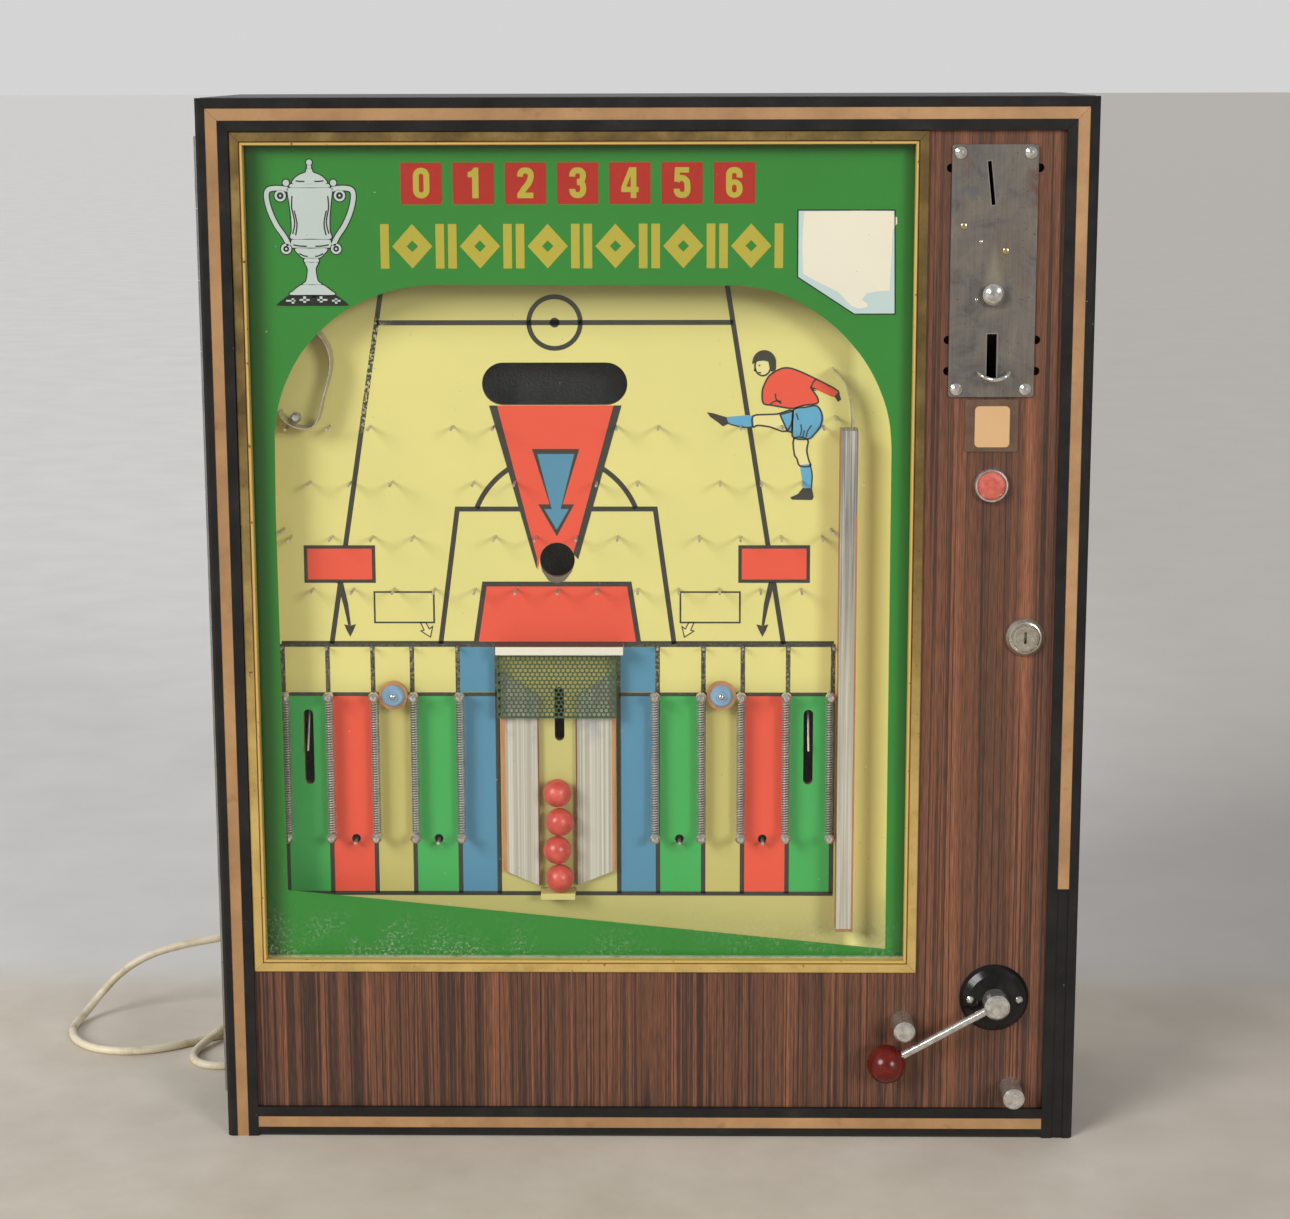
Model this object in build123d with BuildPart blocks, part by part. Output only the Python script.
"""Wall-hung football game: a case with a hinged full-width door that carries the playfield,
the coin plate, the start button, the lock and the kicking lever. Millimetres.
X runs to the right, Y to the back and Z up, from the middle of the base at the door's front."""

import math
import os

from build123d import *

os.makedirs("parts", exist_ok=True)

# Case and door
WIDTH, HEIGHT, DEPTH = 620, 752, 200
HALF = WIDTH / 2
DOOR_THICK = 20
CASE_FRONT = DOOR_THICK + 2
SIDE_THICK = 12
BACK_THICK = 6
BACK_INNER = DEPTH - BACK_THICK
INNER_HALF = HALF - SIDE_THICK

# Edge moulding: its width, and the channel in it for the inlay strip
MOULD_WIDE = 22.5
MOULD_PROUD = 3.5
CHANNEL = (7.0, 15.2)
CHANNEL_FLOOR = -2.5
INLAY_PROUD = 3.2
INLAY_BROKEN_AT = 190

# Window: outside of its metal frame, and the glass behind it
WIN_X = (-287.3, 194.0)
WIN_Z = (126.0, 729.2)
FRAME_WIDE = 9.3
REBATE = 5.8
GLASS_Y = (5.0, 9.0)

# Playfield, drawn about its own centre line
FIELD_X = -66.0
FIELD_Y = 35.0
BOARD_THICK = 6.0
BOARD_X = (-292.0, 198.0)
BOARD_Z = (118.0, 735.0)
PIN_PROUD = 20.0
PIN_PITCH = 29.3
ROW_Z = (521.0, 481.0, 441.4, 403.0)
# For each row, how many pitches each pin stands from the centre line
ROW_STEPS = (
    (1.5, 2.5, 4.5, 5.5, 6.5),
    (1.0, 2.0, 4.0, 5.0, 6.0),
    (0.5, 1.5, 3.5, 4.5, 5.5, 6.5),
    (1.0, 2.0, 3.0, 4.0, 5.0, 6.0),
)
POST_STEPS = (70.5, 104.0, 132.7, 165.5, 197.3)
POST_TOP_Z, POST_FOOT_Z = 325.5, 220.2
LANE_EDGES = (44.0, 72.5, 105.7, 134.2, 167.0, 199.5)
SWITCH_STEPS = (88.3, 149.0)
SWITCH_Z = 216.4
SLOT_STEP = 182.0
SLOT_Z = (257.5, 313.5)
SLOT_WIDE = 7.0
GOAL_SLOT_Z = (290.3, 330.4)
BUMPER_STEP = 118.6
BUMPER_Z = 326.5

# Goal and its ball channel
GOAL_X = (-110.0, -18.2)
BAR_Z = (357.4, 363.6)
NET_X = (-109.2, -23.8)
NET_Z = (309.4, 355.6)
CHANNEL_X = (-79.9, -53.2)
RAMP_TOP_Z = 308.2
BALL_R = 10.3
BALL_X = (-65.2, -66.8, -65.0, -66.5)
BALL_Z = (189.4, 210.7, 231.9, 253.6)

# Launch lane rail
RAIL_X = (136.4, 148.7)
RAIL_Z = (151.7, 519.3)
RAIL_FRONT = 15.0

# Fittings on the right-hand column
PLATE_X = (209.4, 268.9)
PLATE_Z = (545.6, 719.8)
PLATE_THICK = 2.0
PLATE_MID = sum(PLATE_X) / 2
COIN_SLOT = (236.7, 693.4)
COIN_TILT = 6.5
REJECT = (239.2, 617.3)
RETURN_MID = (239.1, 573.4)
BUTTON = (241.0, 483.9)
LOCK = (267.0, 375.1)
LEVER = (251.0, 107.2)
ROD_Y = -18.5
ROD_TURN = 29.5
ROD_LONG = 80.0
KNOB_R = 14.0
PEGS = ((184.5, 89.2), (264.3, 38.7))
PEG_R, PEG_LONG = 7.7, 27.0
ARM_TURN = 172.0
ARM_LONG = 95.0

# Hinge
HINGE_X, HINGE_Y = -312.7, 21.0
KNUCKLE_R, HINGE_PIN_R, HINGE_BORE_R = 2.6, 1.3, 1.35
KNUCKLE_LONG = 50.0
HINGE_Z = (26.0, 726.0)

# Mains lead
CORD_R = 3.2
GLAND = (-285.0, 88.0)
GLAND_NOSE_Y = 230.0
COIL_MID = (-215.0, 268.0)
COIL_R = (32.0, 38.4)
COIL_LAYERS = 3
CORD_ROUTE = (
    (-285.0, 230.0, 88.0),
    (-285.0, 250.0, 88.0),
    (-298.0, 267.0, 82.5),
    (-321.0, 271.0, 75.0),
    (-352.0, 265.0, 66.0),
    (-386.0, 262.0, 61.0),
    (-417.0, 262.0, 52.0),
    (-442.0, 263.0, 36.0),
    (-460.0, 260.0, 16.0),
    (-470.0, 246.0, 4.0),
    (-474.0, 220.0, 3.2),
    (-466.0, 190.0, 3.2),
    (-443.0, 168.0, 3.2),
    (-412.0, 163.5, 3.2),
    (-382.0, 176.0, 3.2),
    (-361.5, 194.5, 3.2),
    (-350.2, 202.9, 3.2),
    (-337.3, 204.5, 3.2),
    (-325.5, 199.0, 3.2),
    (-318.5, 188.0, 3.2),
    (-317.5, 168.0, 3.2),
    (-318.5, 148.0, 3.2),
    (-326.9, 136.3, 3.2),
    (-340.5, 131.9, 3.2),
    (-354.1, 136.3, 3.2),
    (-362.5, 148.0, 3.2),
    (-364.0, 166.0, 3.2),
    (-358.0, 184.0, 5.0),
    (-347.0, 199.0, 10.6),
    (-338.0, 217.0, 10.6),
    (-319.0, 231.0, 5.0),
    (-292.0, 236.0, 3.2),
    (-262.0, 231.5, 3.2),
    (-236.0, 229.6, 3.2),
)


def save(piece, name):
    """Label one finished piece and write its STEP file."""
    piece.label = name
    export_step(piece, f"parts/{name}.step")


def front_plane(y):
    """A plane seen from the front at depth y, with its extrusions running towards the viewer."""
    return Plane.XZ.offset(-y)


def slab(x, z, y, mode=Mode.ADD):
    """A box between pairs of limits."""
    with Locations((sum(x) / 2, sum(y) / 2, sum(z) / 2)):
        Box(x[1] - x[0], y[1] - y[0], z[1] - z[0], mode=mode)


def rod_y(x, z, radius, y, mode=Mode.ADD):
    """A round bar along Y between two depths."""
    with Locations(Location((x, sum(y) / 2, z), (90, 0, 0))):
        Cylinder(radius, y[1] - y[0], mode=mode)


def turned(x, z, outline):
    """A turned piece about an axis along Y: outline holds (radius, y) points."""
    with BuildSketch(Plane((x, 0, z), x_dir=(1, 0, 0), z_dir=(0, 0, 1))) as section:
        with BuildLine():
            Polyline(*outline, close=True)
        make_face()
    revolve(section.sketch, axis=Axis((x, 0, z), (0, 1, 0)))


def mirror_steps(steps):
    """Distances both ways from the field's centre line, as positions in X."""
    return [FIELD_X + side * step for side in (-1, 1) for step in steps]


def mitred_run(outline, start, run, inward, length, mitres):
    """One straight run of a section, cut at 45 degrees at the ends that are named in mitres."""
    run_way, in_way = Vector(*run), Vector(*inward)
    with BuildPart() as piece:
        with BuildSketch(Plane(start, x_dir=inward, z_dir=run)):
            with BuildLine():
                Polyline(*outline, close=True)
            make_face()
        extrude(amount=length)
        gap = 0.12
        if "start" in mitres:
            at = Vector(*start) + run_way * gap
            split(bisect_by=Plane(at, z_dir=run_way - in_way), keep=Keep.TOP)
        if "end" in mitres:
            at = Vector(*start) + run_way * (length - gap)
            split(bisect_by=Plane(at, z_dir=run_way + in_way), keep=Keep.BOTTOM)
    return piece.part


# ---- Case ----
JOINT = 0.05
with BuildPart() as case_boards:
    for side in (-1, 1):
        edges = sorted((side * HALF, side * INNER_HALF))
        slab(edges, (0, HEIGHT), (CASE_FRONT, BACK_INNER))
    for z in ((0, SIDE_THICK), (HEIGHT - SIDE_THICK, HEIGHT)):
        slab((-INNER_HALF + JOINT, INNER_HALF - JOINT), z, (CASE_FRONT, BACK_INNER))
save(case_boards.part, "case_boards")

WALL_HOLE_SPAN_X, WALL_HOLE_SPAN_Z, WALL_HOLE_R = 400, 560, 3.5
with BuildPart() as back_panel:
    slab((-HALF, HALF), (0, HEIGHT), (BACK_INNER, DEPTH))
    for x in (-WALL_HOLE_SPAN_X / 2, WALL_HOLE_SPAN_X / 2):
        for z in (HEIGHT / 2 - WALL_HOLE_SPAN_Z / 2, HEIGHT / 2 + WALL_HOLE_SPAN_Z / 2):
            rod_y(x, z, WALL_HOLE_R, (BACK_INNER - 1, DEPTH + 1), Mode.SUBTRACT)
    rod_y(*GLAND, 6.0, (BACK_INNER - 1, DEPTH + 1), Mode.SUBTRACT)
    for row in range(6):
        slab((180, 240), (640 - 14 * row, 644 - 14 * row), (BACK_INNER - 1, DEPTH + 1), Mode.SUBTRACT)
save(back_panel.part, "back_panel")

with BuildPart() as cash_box:
    slab((40, 240), (SIDE_THICK, 92), (70, 180))
    slab((42, 238), (SIDE_THICK + 2, 93), (72, 178), Mode.SUBTRACT)
save(cash_box.part, "cash_box")

with BuildPart() as transformer:
    slab((-240, -160), (SIDE_THICK, SIDE_THICK + 4), (90, 170))
    slab((-232, -168), (SIDE_THICK + 4, 78), (98, 162))
    slab((-222, -178), (26, 68), (86, 174))
save(transformer.part, "transformer")

with BuildPart() as cable_gland:
    nose_r, nut_r = CORD_R + 1.4, 9.5
    turned(*GLAND, ((CORD_R, BACK_INNER), (5.9, BACK_INNER), (5.9, DEPTH), (nut_r, DEPTH),
                    (nut_r, DEPTH + 6), (7.2, DEPTH + 8), (nose_r, GLAND_NOSE_Y), (CORD_R, GLAND_NOSE_Y)))
    rod_y(*GLAND, CORD_R, (BACK_INNER, GLAND_NOSE_Y))
save(cable_gland.part, "cable_gland")


# ---- Mains lead ----
def corner_radii(route):
    """As large an arc at each corner as its two runs allow."""
    points = [Vector(*p) for p in route]
    radii = []
    for before, here, after in zip(points, points[1:], points[2:]):
        turn = math.radians((here - before).get_angle(after - here))
        shorter = min((here - before).length, (after - here).length)
        radii.append(0.45 * shorter / math.tan(turn / 2))
    return radii


CORD_RADII = corner_radii(CORD_ROUTE)
with BuildPart() as power_cord:
    with BuildLine() as cord_line:
        FilletPolyline(*CORD_ROUTE, radius=CORD_RADII)
    with BuildSketch(Plane(CORD_ROUTE[0], z_dir=Vector(*CORD_ROUTE[1]) - Vector(*CORD_ROUTE[0]))):
        Circle(CORD_R)
    sweep()
save(power_cord.part, "power_cord")
CORD_SEEN = sum(edge.length for edge in cord_line.edges())
print("cord radii", [round(r) for r in CORD_RADII])
print("cord volume / section x length", power_cord.part.volume / (math.pi * CORD_R**2 * CORD_SEEN))
print("cord length up to the coil", CORD_SEEN)

COIL_HIGH = 2 * CORD_R * COIL_LAYERS
with BuildPart() as cord_coil:
    with BuildSketch():
        with Locations(COIL_MID):
            Circle(COIL_R[1] + CORD_R)
            Circle(COIL_R[0] - CORD_R, mode=Mode.SUBTRACT)
    extrude(amount=COIL_HIGH)
save(cord_coil.part, "cord_coil")

PLUG_X, PLUG_Y, PLUG_Z = (-170, -122), (205, 254), (0, 25)
PLUG_MID = (sum(PLUG_Y) / 2, sum(PLUG_Z) / 2)
with BuildPart() as mains_plug:
    slab(PLUG_X, PLUG_Z, PLUG_Y)
    fillet(mains_plug.edges().filter_by(Axis.X), 5)
    with Locations(Location(((PLUG_X[0] - 199) / 2, *PLUG_MID), (0, 90, 0))):
        Cone(CORD_R + 0.6, 7, PLUG_X[0] + 199)
    with Locations((PLUG_X[1] + 10, PLUG_MID[0], PLUG_MID[1] + 5)):
        Box(20, 8, 4)
    for y in (-11, 11):
        with Locations((PLUG_X[1] + 9, PLUG_MID[0] + y, PLUG_MID[1] - 6)):
            Box(18, 6.3, 4)
save(mains_plug.part, "mains_plug")


# ---- Hinge ----
def knuckle_spans(first):
    """Every second knuckle along the hinge, a little short of its neighbours."""
    count = round((HINGE_Z[1] - HINGE_Z[0]) / KNUCKLE_LONG)
    foot = [HINGE_Z[0] + KNUCKLE_LONG * i for i in range(first, count, 2)]
    return [(z + 0.3, z + KNUCKLE_LONG - 0.3) for z in foot]


def knuckle(radius, span, mode=Mode.ADD):
    """One round length along the hinge's line."""
    with Locations((HINGE_X, HINGE_Y, sum(span) / 2)):
        Cylinder(radius, span[1] - span[0], mode=mode)


LEAF_EDGE_X = HINGE_X + KNUCKLE_R + 0.1
LEAF_INNER_X = -295.0
DOOR_LEAF_Y = (DOOR_THICK, DOOR_THICK + 0.9)
CASE_LEAF_Y = (CASE_FRONT - 0.9, CASE_FRONT)
with BuildPart() as hinge_door_leaf:
    slab((LEAF_EDGE_X, LEAF_INNER_X), HINGE_Z, DOOR_LEAF_Y)
    for span in knuckle_spans(0):
        slab((HINGE_X, LEAF_EDGE_X), span, DOOR_LEAF_Y)
        knuckle(KNUCKLE_R, span)
    knuckle(HINGE_BORE_R, HINGE_Z, Mode.SUBTRACT)
save(hinge_door_leaf.part, "hinge_door_leaf")

with BuildPart() as hinge_case_leaf:
    slab((LEAF_EDGE_X, LEAF_INNER_X), HINGE_Z, CASE_LEAF_Y)
    for span in knuckle_spans(1):
        slab((HINGE_X, LEAF_EDGE_X), span, CASE_LEAF_Y)
        knuckle(KNUCKLE_R, span)
    knuckle(HINGE_PIN_R, HINGE_Z)
save(hinge_case_leaf.part, "hinge_case_leaf")

with BuildPart() as lock_strike:
    slab((286, INNER_HALF), (LOCK[1] - 16, LOCK[1] + 16), (CASE_FRONT + 1, CASE_FRONT + 3.5))
    slab((INNER_HALF - 2.5, INNER_HALF), (LOCK[1] - 16, LOCK[1] + 16), (CASE_FRONT + 3.5, 60))
save(lock_strike.part, "lock_strike")

# ---- Door panel ----
PANEL_INSET = 1.6
OPENING_X = (WIN_X[0] + REBATE, WIN_X[1] - REBATE)
OPENING_Z = (WIN_Z[0] + REBATE, WIN_Z[1] - REBATE)
THROUGH = (-1, DOOR_THICK + 1)
SHAFT_R, BEARING_R = 6.0, 9.0
STEM_R = 3.0
with BuildPart() as door_panel:
    slab((-HALF + PANEL_INSET, HALF - PANEL_INSET), (PANEL_INSET, HEIGHT - PANEL_INSET), (0, DOOR_THICK))
    slab(OPENING_X, OPENING_Z, THROUGH, Mode.SUBTRACT)
    with Locations(Location((COIN_SLOT[0], DOOR_THICK / 2, COIN_SLOT[1]), (0, -COIN_TILT, 0))):
        Box(8, DOOR_THICK + 2, 38, mode=Mode.SUBTRACT)
    slab((RETURN_MID[0] - 7, RETURN_MID[0] + 7), (RETURN_MID[1] - 20, RETURN_MID[1] + 20), THROUGH,
         Mode.SUBTRACT)
    rod_y(*REJECT, 5.0, THROUGH, Mode.SUBTRACT)
    rod_y(*BUTTON, 10.6, THROUGH, Mode.SUBTRACT)
    rod_y(*LOCK, 9.5, THROUGH, Mode.SUBTRACT)
    rod_y(*LEVER, BEARING_R, THROUGH, Mode.SUBTRACT)
    for x in (PLATE_X[0] - 0.5, PLATE_X[1] + 1):
        for z in (703.6, 585.5, 563.8):
            rod_y(x, z, 3.0, (-1, 12), Mode.SUBTRACT)
save(door_panel.part, "door_panel")

# ---- Edge moulding and its inlay ----
MOULD_SECTION = (
    (0, 8), (0, -1.4), (2.4, -MOULD_PROUD), (CHANNEL[0], -MOULD_PROUD), (CHANNEL[0], CHANNEL_FLOOR),
    (CHANNEL[1], CHANNEL_FLOOR), (CHANNEL[1], -MOULD_PROUD), (MOULD_WIDE, -MOULD_PROUD),
    (MOULD_WIDE, 0), (PANEL_INSET, 0), (PANEL_INSET, 8),
)
INLAY_SECTION = (
    (CHANNEL[0], CHANNEL_FLOOR), (CHANNEL[0], -INLAY_PROUD),
    (CHANNEL[1], -INLAY_PROUD), (CHANNEL[1], CHANNEL_FLOOR),
)
LEFT, RIGHT, UP, DOWN = (-1, 0, 0), (1, 0, 0), (0, 0, 1), (0, 0, -1)


def edge_runs(outline, right_foot):
    """Left, top and right runs of a section, mitred at the top, and the bottom run between them."""
    between = WIDTH - 2 * MOULD_WIDE
    return [
        mitred_run(outline, (-HALF, 0, 0), UP, RIGHT, HEIGHT, ("end",)),
        mitred_run(outline, (-HALF, 0, HEIGHT), RIGHT, DOWN, WIDTH, ("start", "end")),
        mitred_run(outline, (HALF, 0, HEIGHT), DOWN, LEFT, HEIGHT - right_foot, ("start",)),
        mitred_run(outline, (between / 2 - 0.1, 0, 0), LEFT, UP, between - 0.2, ()),
    ]


with BuildPart() as edge_moulding:
    add(edge_runs(MOULD_SECTION, 0))
save(edge_moulding.part, "edge_moulding")

with BuildPart() as copper_inlay:
    add(edge_runs(INLAY_SECTION, INLAY_BROKEN_AT))
save(copper_inlay.part, "copper_inlay")

# ---- Window ----
FRAME_SECTION = (
    (0, 0), (0, -1.6), (0.6, -2.2), (6.4, -2.2), (7.0, -1.6), (7.8, -2.8), (8.8, -2.8), (FRAME_WIDE, -2.0),
    (FRAME_WIDE, GLASS_Y[0]), (REBATE + 0.3, GLASS_Y[0]), (REBATE + 0.3, 0),
)
WIN_WIDE, WIN_HIGH = WIN_X[1] - WIN_X[0], WIN_Z[1] - WIN_Z[0]
BOTH = ("start", "end")
with BuildPart() as window_frame:
    add([
        mitred_run(FRAME_SECTION, (WIN_X[0], 0, WIN_Z[0]), UP, RIGHT, WIN_HIGH, BOTH),
        mitred_run(FRAME_SECTION, (WIN_X[0], 0, WIN_Z[1]), RIGHT, DOWN, WIN_WIDE, BOTH),
        mitred_run(FRAME_SECTION, (WIN_X[1], 0, WIN_Z[1]), DOWN, LEFT, WIN_HIGH, BOTH),
        mitred_run(FRAME_SECTION, (WIN_X[1], 0, WIN_Z[0]), LEFT, UP, WIN_WIDE, BOTH),
    ])
save(window_frame.part, "window_frame")

GLASS_X = (OPENING_X[0] + 0.5, OPENING_X[1] - 0.5)
GLASS_Z = (OPENING_Z[0] + 0.5, OPENING_Z[1] - 0.5)
with BuildPart() as glass_pane:
    slab(GLASS_X, GLASS_Z, GLASS_Y)
save(glass_pane.part, "glass_pane")

# ---- Playfield ----
FIELD_BACK = FIELD_Y + BOARD_THICK
CUT = (FIELD_Y - 1, FIELD_BACK + 1)
STADIUM = (-118.0, -14.6, 536.0, 566.4)
CUP_HOLE = (-65.5, 424.2)
CUP_R = 12.6
GATE_X = (-79.0, -54.0)
GATE_Z = (174.2, 178.8)
with BuildPart() as playfield_board:
    slab(BOARD_X, BOARD_Z, (FIELD_Y, FIELD_BACK))
    with BuildSketch(front_plane(FIELD_Y - 1)):
        with Locations(((STADIUM[0] + STADIUM[1]) / 2, (STADIUM[2] + STADIUM[3]) / 2)):
            SlotOverall(STADIUM[1] - STADIUM[0], STADIUM[3] - STADIUM[2])
        with Locations(CUP_HOLE):
            Circle(CUP_R)
        for x in mirror_steps((SLOT_STEP,)):
            with Locations((x, sum(SLOT_Z) / 2)):
                SlotOverall(SLOT_Z[1] - SLOT_Z[0], SLOT_WIDE, rotation=90)
        with Locations((FIELD_X + 1, sum(GOAL_SLOT_Z) / 2)):
            SlotOverall(GOAL_SLOT_Z[1] - GOAL_SLOT_Z[0], SLOT_WIDE, rotation=90)
        for x in mirror_steps(SWITCH_STEPS):
            with Locations((x, SWITCH_Z)):
                Circle(3.3)
    extrude(amount=-BOARD_THICK - 2, mode=Mode.SUBTRACT)
    slab((GATE_X[0] - 0.4, GATE_X[1] + 0.4), (GATE_Z[0] - 0.4, GATE_Z[1] + 0.4), CUT, Mode.SUBTRACT)
save(playfield_board.part, "playfield_board")

PLAY_LEFT, PLAY_RIGHT, ARCH_R, PLAY_TOP = -269.0, 177.0, 120.0, 645.0
FLOOR_Z = (168.0, 126.0)
with BuildPart() as playfield_surround:
    slab((GLASS_X[0], GLASS_X[1]), (GLASS_Z[0], GLASS_Z[1]), (GLASS_Y[1], DOOR_THICK))
    slab(BOARD_X, BOARD_Z, (DOOR_THICK, FIELD_Y))
    with BuildSketch(front_plane(0)):
        with BuildLine():
            Polyline((PLAY_LEFT, PLAY_TOP - ARCH_R), (PLAY_LEFT, FLOOR_Z[0]), (PLAY_RIGHT, FLOOR_Z[1]),
                     (PLAY_RIGHT, PLAY_TOP - ARCH_R))
            ThreePointArc(
                (PLAY_RIGHT, PLAY_TOP - ARCH_R),
                (PLAY_RIGHT - ARCH_R * (1 - math.sqrt(0.5)), PLAY_TOP - ARCH_R * (1 - math.sqrt(0.5))),
                (PLAY_RIGHT - ARCH_R, PLAY_TOP),
            )
            Line((PLAY_RIGHT - ARCH_R, PLAY_TOP), (PLAY_LEFT + ARCH_R, PLAY_TOP))
            ThreePointArc(
                (PLAY_LEFT + ARCH_R, PLAY_TOP),
                (PLAY_LEFT + ARCH_R * (1 - math.sqrt(0.5)), PLAY_TOP - ARCH_R * (1 - math.sqrt(0.5))),
                (PLAY_LEFT, PLAY_TOP - ARCH_R),
            )
        make_face()
    extrude(amount=-FIELD_Y - 1, mode=Mode.SUBTRACT)
    slab((RAIL_X[1], BOARD_X[1] + 1), (BOARD_Z[0] - 1, 172), (DOOR_THICK, FIELD_Y), Mode.SUBTRACT)
    slab((-180, 84), (672, 718), (DOOR_THICK - 9, FIELD_Y), Mode.SUBTRACT)
save(playfield_surround.part, "playfield_surround")

LAMP_PITCH, LAMP_Z = 36.1, 693.0
LAMP_X = [-156.3 + LAMP_PITCH * i for i in range(7)]
with BuildPart() as score_lamp_board:
    slab((-178, 82), (674, 716), (FIELD_Y - 6, FIELD_Y))
    for x in LAMP_X:
        rod_y(x, LAMP_Z, 5, (FIELD_Y - 18, FIELD_Y - 6))
save(score_lamp_board.part, "score_lamp_board")

PIN_R = 0.95
with BuildPart() as playfield_pins:
    spots = [(x, z) for steps, z in zip(ROW_STEPS, ROW_Z) for x in mirror_steps([s * PIN_PITCH for s in steps])]
    spots += [(FIELD_X + 1, ROW_Z[3]), (-261.5, 447.0), (130.7, 446.6), (133.0, 528.0)]
    for x, z in spots:
        rod_y(x, z, PIN_R, (FIELD_Y - PIN_PROUD, FIELD_Y))
    for x in mirror_steps(LANE_EDGES[1:]):
        rod_y(x, 360.0, PIN_R, (FIELD_Y - 8, FIELD_Y))
save(playfield_pins.part, "playfield_pins")

POST_R, POST_HEAD_R, POST_FRONT = 2.0, 3.9, FIELD_Y - 17
POST_SHAPE = (
    (0, POST_FRONT), (2.2, POST_FRONT + 0.5), (3.5, POST_FRONT + 1.8), (POST_HEAD_R, POST_FRONT + 3.4),
    (POST_HEAD_R, POST_FRONT + 4.6), (POST_R, POST_FRONT + 5.4), (POST_R, FIELD_Y), (0, FIELD_Y),
)
ARCH_POST = (-249.4, 529.1)
with BuildPart() as spring_posts:
    for x in mirror_steps(POST_STEPS):
        for z in (POST_TOP_Z, POST_FOOT_Z):
            turned(x, z, POST_SHAPE)
    turned(*ARCH_POST, POST_SHAPE)
save(spring_posts.part, "spring_posts")

COIL_SPRING_R, COIL_SPRING_Y = 3.2, FIELD_Y - 7
with BuildPart() as lane_springs:
    for x in mirror_steps(POST_STEPS):
        with Locations((x, COIL_SPRING_Y, (POST_TOP_Z + POST_FOOT_Z) / 2)):
            Cylinder(COIL_SPRING_R, POST_TOP_Z - POST_FOOT_Z - 2 * POST_R)
            Cylinder(COIL_SPRING_R - 1, POST_TOP_Z - POST_FOOT_Z, mode=Mode.SUBTRACT)
save(lane_springs.part, "lane_springs")

with BuildPart() as bumper_rings:
    for x in mirror_steps((BUMPER_STEP,)):
        rod_y(x, BUMPER_Z, 5.0, (FIELD_Y - 8, FIELD_Y))
        rod_y(x, BUMPER_Z, 10.5, (FIELD_Y - 12, FIELD_Y - 8))
save(bumper_rings.part, "bumper_rings")

CAP_BACK = FIELD_Y - 12
with BuildPart() as bumper_caps:
    for x in mirror_steps((BUMPER_STEP,)):
        turned(x, BUMPER_Z, ((0, CAP_BACK - 4.4), (3.4, CAP_BACK - 4.2), (3.6, CAP_BACK - 3.2), (6.6, CAP_BACK - 2.6),
                             (8.0, CAP_BACK - 1), (8.0, CAP_BACK), (0, CAP_BACK)))
save(bumper_caps.part, "bumper_caps")

with BuildPart() as goal_crossbar:
    slab(GOAL_X, BAR_Z, (FIELD_Y - 16, FIELD_Y))
save(goal_crossbar.part, "goal_crossbar")

NET_Y = (FIELD_Y - 10, FIELD_Y - 9)
with BuildPart() as goal_net:
    slab(NET_X, NET_Z, NET_Y)
    for x in NET_X:
        slab((x - 0.6, x + 0.6), NET_Z, (NET_Y[1], FIELD_Y))
save(goal_net.part, "goal_net")

RAMP_Y = (FIELD_Y - 4, FIELD_Y)
RAMPS = (
    ((-105.8, RAMP_TOP_Z), (CHANNEL_X[0], RAMP_TOP_Z), (CHANNEL_X[0], 181.5), (-105.5, 192.7)),
    ((CHANNEL_X[1], RAMP_TOP_Z), (-25.5, RAMP_TOP_Z), (-25.5, 193.3), (CHANNEL_X[1], 181.8)),
)
with BuildPart() as goal_ramps:
    for outline in RAMPS:
        with BuildSketch(front_plane(RAMP_Y[0])):
            with BuildLine():
                Polyline(*outline, close=True)
            make_face()
        extrude(amount=RAMP_Y[0] - RAMP_Y[1])
save(goal_ramps.part, "goal_ramps")

BALL_Y = FIELD_Y - BALL_R - 0.2
for number, (x, z) in enumerate(zip(BALL_X, BALL_Z), 1):
    with BuildPart() as ball:
        with Locations((x, BALL_Y, z)):
            Sphere(BALL_R)
    save(ball.part, f"ball_{number}")

with BuildPart() as ball_gate:
    slab(GATE_X, GATE_Z, (FIELD_Y - 15, FIELD_BACK + 24))
save(ball_gate.part, "ball_gate")

with BuildPart() as lane_rail:
    slab(RAIL_X, RAIL_Z, (RAIL_FRONT, FIELD_Y))
save(lane_rail.part, "lane_rail")

CAP_THICK = 0.8
with BuildPart() as lane_rail_cap:
    slab(RAIL_X, (RAIL_Z[0] + 6, RAIL_Z[1] + CAP_THICK), (RAIL_FRONT - CAP_THICK, RAIL_FRONT))
    slab(RAIL_X, (RAIL_Z[1], RAIL_Z[1] + CAP_THICK), (RAIL_FRONT, FIELD_Y))
save(lane_rail_cap.part, "lane_rail_cap")

STRIP_THICK = 0.7
STRIP_Y = (FIELD_Y - 19, FIELD_Y - 1)
GATE_STRIP = ((144.6, 520.5), (144.4, 531.0), (143.4, 539.0), (139.4, 552.0), (130.4, 563.0))
ARCH_STRIP = (
    (-261.0, 533.5), (-253.5, 524.5), (-245.0, 521.5), (-238.5, 522.0), (-233.6, 527.5), (-230.8, 537.0),
    (-223.6, 571.0), (-235.0, 591.5),
)
with BuildPart() as spring_strips:
    for points in (GATE_STRIP, ARCH_STRIP):
        with BuildSketch(front_plane(STRIP_Y[0])):
            with BuildLine() as bend:
                Spline(*points)
            trace(bend.line, STRIP_THICK)
        extrude(amount=STRIP_Y[0] - STRIP_Y[1])
save(spring_strips.part, "spring_strips")

with BuildPart() as drain_box:
    slab((-126, -6), (395, 575), (FIELD_BACK, FIELD_BACK + 26))
    slab((-124, -8), (397, 573), (FIELD_BACK, FIELD_BACK + 24), Mode.SUBTRACT)
save(drain_box.part, "drain_box")

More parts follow.
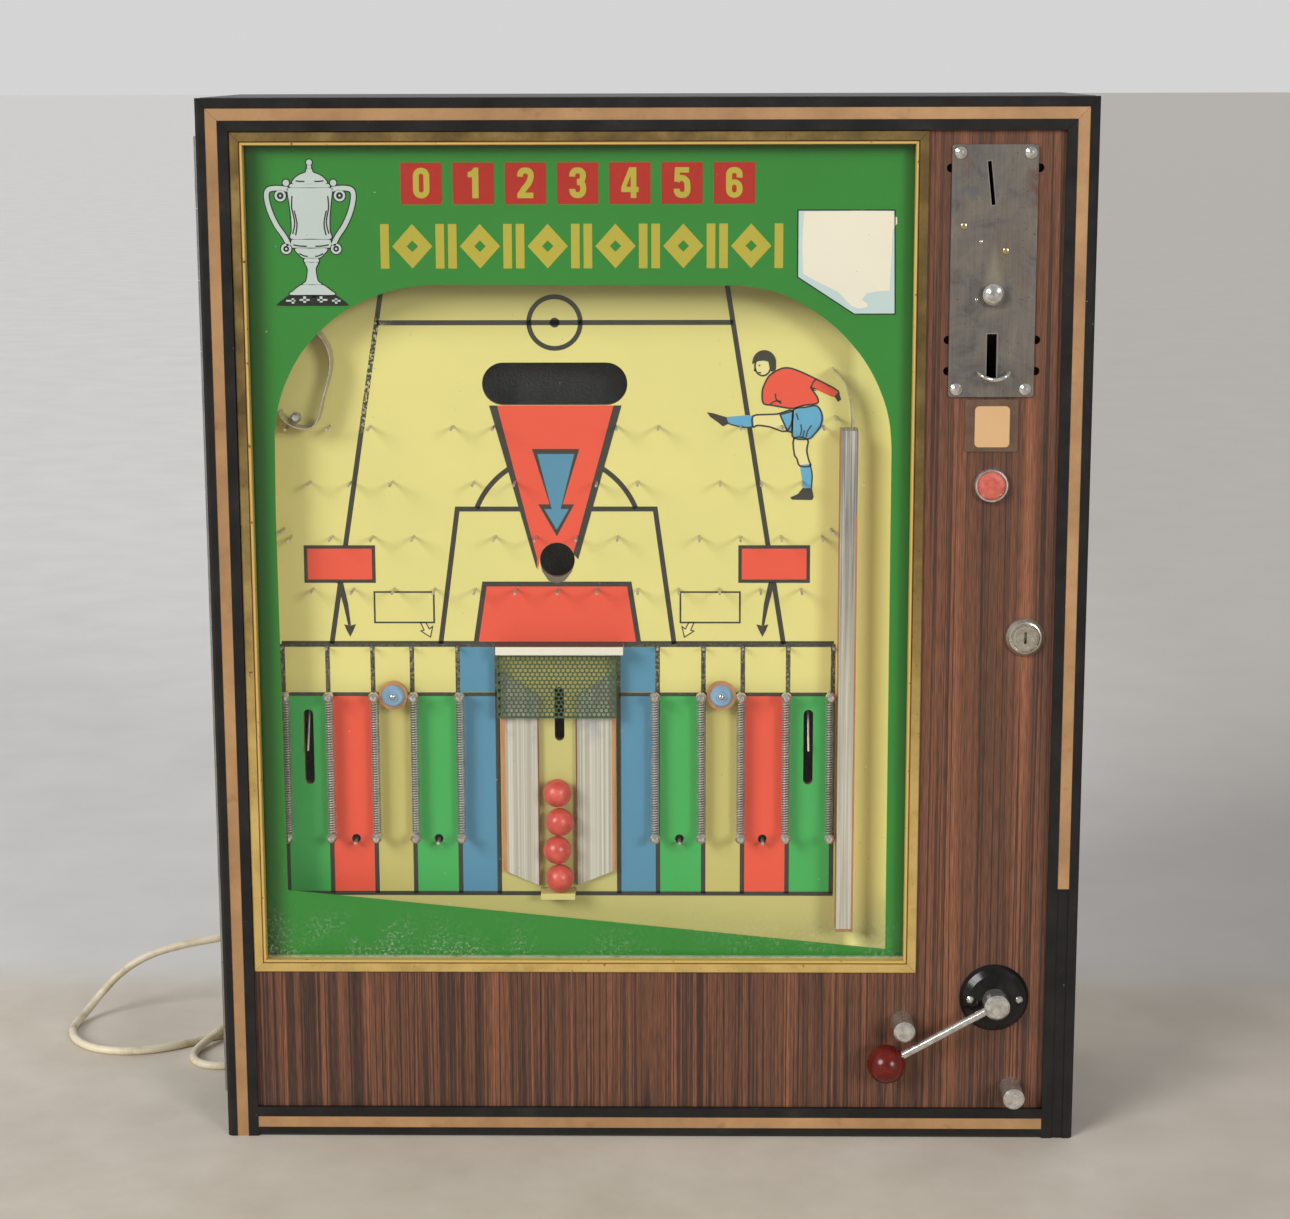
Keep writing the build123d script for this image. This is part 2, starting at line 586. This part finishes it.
SWITCH_PIN_R = 1.1
WIRE_R, WIRE_PIVOT, WIRE_TIP = 0.8, (FIELD_BACK + 6, 319.0), (FIELD_Y - 6, 284.0)
PIN_DROP = 1.5
SWITCH_TRAVEL = 3.0
with BuildPart() as switch_bodies:
    for x in mirror_steps(SWITCH_STEPS):
        slab((x - 8, x + 8), (SWITCH_Z - 12, SWITCH_Z + 12), (FIELD_BACK, FIELD_BACK + 20))
        rod_y(x, SWITCH_Z - PIN_DROP, SWITCH_PIN_R + 0.06, (FIELD_BACK - 1, FIELD_BACK + 18), Mode.SUBTRACT)
    for x in mirror_steps((SLOT_STEP,)):
        for side in (-1, 1):
            ear = sorted((x + side * 3.3, x + side * 5.0))
            slab(ear, (WIRE_PIVOT[1] - 4, WIRE_PIVOT[1] + 4), (FIELD_BACK, WIRE_PIVOT[0] + 4))
        with Locations(Location((x, *WIRE_PIVOT), (0, 90, 0))):
            Cylinder(1.0, 10)
save(switch_bodies.part, "switch_bodies")

for number, x in enumerate(sorted(mirror_steps(SWITCH_STEPS)), 1):
    with BuildPart() as switch_pin:
        rod_y(x, SWITCH_Z - PIN_DROP, SWITCH_PIN_R, (FIELD_Y - 8, FIELD_BACK + 14))
    save(switch_pin.part, f"switch_pin_{number}")

for name, x in zip(("slot_wire_left", "slot_wire_right"), mirror_steps((SLOT_STEP,))):
    with BuildPart() as slot_wire:
        with BuildLine():
            Line((x, *WIRE_PIVOT), (x, *WIRE_TIP))
        with BuildSketch(Plane((x, *WIRE_PIVOT), z_dir=Vector(x, *WIRE_TIP) - Vector(x, *WIRE_PIVOT))):
            Circle(WIRE_R)
        sweep()
        with Locations(Location((x, *WIRE_PIVOT), (0, 90, 0))):
            Cylinder(2.0, 6)
            Cylinder(1.05, 8, mode=Mode.SUBTRACT)
    save(slot_wire.part, name)

# ---- Coin plate ----
SCREWS = ((215.3, 714.0), (263.4, 713.8), (215.0, 551.4), (262.9, 551.4))
with BuildPart() as coin_plate:
    slab(PLATE_X, PLATE_Z, (-PLATE_THICK, 0))
    fillet(coin_plate.edges().filter_by(Axis.Y), 2.5)
    fillet(coin_plate.faces().sort_by(Axis.Y)[0].edges(), 0.7)
    with Locations(Location((COIN_SLOT[0], -PLATE_THICK / 2, COIN_SLOT[1]), (0, -COIN_TILT, 0))):
        Box(2.6, PLATE_THICK + 2, 30, mode=Mode.SUBTRACT)
    slab((RETURN_MID[0] - 3.4, RETURN_MID[0] + 3.4), (RETURN_MID[1] - 16.4, RETURN_MID[1] + 16.4),
         (-PLATE_THICK - 1, 1), Mode.SUBTRACT)
    rod_y(*REJECT, STEM_R + 0.08, (-PLATE_THICK - 1, 1), Mode.SUBTRACT)
save(coin_plate.part, "coin_plate")

REJECT_TRAVEL = 4.0
with BuildPart() as reject_button:
    dome = -PLATE_THICK - REJECT_TRAVEL - 0.6
    turned(*REJECT, ((0, dome - 3.4), (3.2, dome - 3.0), (5.8, dome - 1.9), (7.5, dome - 0.2), (7.5, dome),
                     (STEM_R, dome), (STEM_R, DOOR_THICK + 8), (0, DOOR_THICK + 8)))
save(reject_button.part, "reject_button")

MECH_X, MECH_Z, MECH_Y = (210.0, 274.0), (556.0, 712.0), (DOOR_THICK, 108.0)
with BuildPart() as coin_mech:
    slab(MECH_X, MECH_Z, MECH_Y)
    slab((MECH_X[0] + 2, MECH_X[1] - 2), (MECH_Z[0] - 1, MECH_Z[1] - 2), (MECH_Y[0] - 1, MECH_Y[1] - 2),
         Mode.SUBTRACT)
    slab((230, 234), (600, 700), (MECH_Y[0] + 12, MECH_Y[1] - 2))
    slab((244, 248), (600, 700), (MECH_Y[0] + 12, MECH_Y[1] - 2))
save(coin_mech.part, "coin_mech")

GUARD_X, GUARD_Z, GUARD_OUT, GUARD_SAG = (229.8, 250.8), 563.2, 12.0, 4.0
with BuildPart() as return_guard:
    foot_y = -PLATE_THICK
    with BuildLine():
        Line((GUARD_X[0], foot_y, GUARD_Z), (GUARD_X[0], foot_y - 4, GUARD_Z))
        Spline((GUARD_X[0], foot_y - 4, GUARD_Z), (PLATE_MID + 1.35, foot_y - GUARD_OUT, GUARD_Z - GUARD_SAG),
               (GUARD_X[1], foot_y - 4, GUARD_Z), tangents=((0, -1, 0), (0, 1, 0)))
        Line((GUARD_X[1], foot_y - 4, GUARD_Z), (GUARD_X[1], foot_y, GUARD_Z))
    with BuildSketch(Plane((GUARD_X[0], foot_y, GUARD_Z), z_dir=(0, -1, 0))):
        Circle(1.4)
    sweep()
save(return_guard.part, "return_guard")

ROSETTE_R, ROSETTE_PROUD = 25.0, 8.0
ROSETTE_SCREWS = ((LEVER[0] - 17.2, LEVER[1]), (LEVER[0] + 17.2, LEVER[1]))
SCREW_R, SMALL_SCREW_R = 4.1, 3.1
ROSETTE_SEAT = -5.0
with BuildPart() as panel_screws:
    for seat, spots, head_r in ((-PLATE_THICK, SCREWS, SCREW_R), (ROSETTE_SEAT, ROSETTE_SCREWS, SMALL_SCREW_R)):
        for x, z in spots:
            turned(x, z, ((0, seat - 2.4), (head_r / 2, seat - 2.1), (head_r, seat - 0.8), (head_r, seat),
                          (0, seat)))
    for x, z in ROSETTE_SCREWS:
        slab((x - 0.45, x + 0.45), (z - SMALL_SCREW_R, z + SMALL_SCREW_R), (ROSETTE_SEAT - 3, ROSETTE_SEAT - 1.5),
             Mode.SUBTRACT)
save(panel_screws.part, "panel_screws")

with BuildPart() as label_plate:
    slab((221.7, 258.8), (507.5, 544.1), (-1.0, 0))
    fillet(label_plate.edges().filter_by(Axis.Y), 1.5)
save(label_plate.part, "label_plate")

# ---- Start button ----
BUTTON_R, BUTTON_TRAVEL = 9.9, 3.0
with BuildPart() as start_bezel:
    turned(*BUTTON, ((BUTTON_R + 0.08, -5.0), (10.3, -5.6), (11.3, -5.4), (11.9, -4.4), (11.9, 0), (10.5, 0),
                     (10.5, DOOR_THICK + 6), (BUTTON_R + 0.08, DOOR_THICK + 6)))
save(start_bezel.part, "start_bezel")

with BuildPart() as start_button:
    crown = -5.6 - BUTTON_TRAVEL + 2.4
    turned(*BUTTON, ((0, crown - 0.6), (5.5, crown - 0.4), (8.4, crown + 0.2), (BUTTON_R, crown + 1.6),
                     (BUTTON_R, DOOR_THICK), (0, DOOR_THICK)))
save(start_button.part, "start_button")

# ---- Lock ----
PLUG_R, LOCK_R = 6.4, 13.8
CAM_Y = (27.0, 29.0)
CAM_LONG = 27.0
with BuildPart() as lock_body:
    turned(*LOCK, ((PLUG_R + 0.06, -5.0), (8.6, -5.0), (9.0, -4.0), (9.8, -4.0), (10.4, -5.4), (11.4, -5.1),
                   (LOCK_R - 0.5, -2.8), (LOCK_R, -1.0), (LOCK_R, 0), (9.4, 0), (9.4, CAM_Y[0] - 0.2),
                   (PLUG_R + 0.06, CAM_Y[0] - 0.2)))
save(lock_body.part, "lock_body")

with BuildPart() as lock_plug:
    rod_y(*LOCK, PLUG_R, (-5.2, CAM_Y[1]))
    slab((LOCK[0] - 1.0, LOCK[0] + 1.0), (LOCK[1] - 4.3, LOCK[1] + 4.3), (-6, 4), Mode.SUBTRACT)
    slab((LOCK[0] - 7, LOCK[0] + 7), (LOCK[1] - CAM_LONG, LOCK[1] + 7), CAM_Y)
save(lock_plug.part, "lock_plug")

# ---- Lever ----
HUB_R = 9.2
with BuildPart() as lever_rosette:
    turned(*LEVER, ((HUB_R + 0.08, -ROSETTE_PROUD), (12.0, -ROSETTE_PROUD), (18.5, -6.6), (23.0, -3.6),
                    (ROSETTE_R, -1.0), (ROSETTE_R, 0), (HUB_R + 0.08, 0)))
    for x, z in ROSETTE_SCREWS:
        rod_y(x, z, SMALL_SCREW_R + 0.2, (-ROSETTE_PROUD, ROSETTE_SEAT), Mode.SUBTRACT)
save(lever_rosette.part, "lever_rosette")

with BuildPart() as lever_bearing:
    turned(*LEVER, ((SHAFT_R + 0.06, 0.3), (BEARING_R - 0.02, 0.3), (BEARING_R - 0.02, DOOR_THICK),
                    (13.0, DOOR_THICK), (13.0, DOOR_THICK + 2), (SHAFT_R + 0.06, DOOR_THICK + 2)))
save(lever_bearing.part, "lever_bearing")

HUB_FRONT = -25.0
ARM_Y = (24.0, 30.0)
with BuildPart() as lever_shaft:
    turned(*LEVER, ((0, HUB_FRONT), (7.6, HUB_FRONT), (HUB_R, HUB_FRONT + 1.6), (HUB_R, 0), (SHAFT_R, 0),
                    (SHAFT_R, ARM_Y[1] + 8), (0, ARM_Y[1] + 8)))
save(lever_shaft.part, "lever_shaft")


def lever_point(distance, turn):
    """A point at a distance from the lever's axis, turn degrees anticlockwise from the right."""
    angle = math.radians(turn)
    return LEVER[0] + distance * math.cos(angle), LEVER[1] + distance * math.sin(angle)


ROD_WAY = 180 + ROD_TURN
ROD_R = 3.0
with BuildPart() as lever_rod:
    near, far = lever_point(HUB_R - 0.5, ROD_WAY), lever_point(ROD_LONG, ROD_WAY)
    with BuildSketch(Plane((near[0], ROD_Y, near[1]), z_dir=(far[0] - near[0], 0, far[1] - near[1]))):
        Circle(ROD_R)
    extrude(amount=ROD_LONG - HUB_R + 0.5)
save(lever_rod.part, "lever_rod")

KNOB_MID = lever_point(ROD_LONG + KNOB_R - 3.5, ROD_WAY)
with BuildPart() as lever_knob:
    with Locations((KNOB_MID[0], ROD_Y, KNOB_MID[1])):
        Sphere(KNOB_R)
    near, far = lever_point(ROD_LONG - 10, ROD_WAY), lever_point(ROD_LONG, ROD_WAY)
    with BuildSketch(Plane((near[0], ROD_Y, near[1]), z_dir=(far[0] - near[0], 0, far[1] - near[1]))):
        Circle(ROD_R)
    extrude(amount=10, mode=Mode.SUBTRACT)
save(lever_knob.part, "lever_knob")

TIP = lever_point(ARM_LONG, ARM_TURN)
with BuildPart() as kicker_arm:
    rod_y(*LEVER, 13, ARM_Y)
    with BuildSketch(front_plane(ARM_Y[0])):
        with Locations(Location(((LEVER[0] + TIP[0]) / 2, (LEVER[1] + TIP[1]) / 2, 0), (0, 0, ARM_TURN))):
            RectangleRounded(ARM_LONG + 12, 12, 5.9)
    extrude(amount=ARM_Y[0] - ARM_Y[1])
    rod_y(*LEVER, SHAFT_R, (0, 60), Mode.SUBTRACT)
save(kicker_arm.part, "kicker_arm")

with BuildPart() as stop_pegs:
    for x, z in PEGS:
        turned(x, z, ((0, -PEG_LONG), (PEG_R - 1.4, -PEG_LONG), (PEG_R, -PEG_LONG + 1.4), (PEG_R, 0), (0, 0)))
save(stop_pegs.part, "stop_pegs")
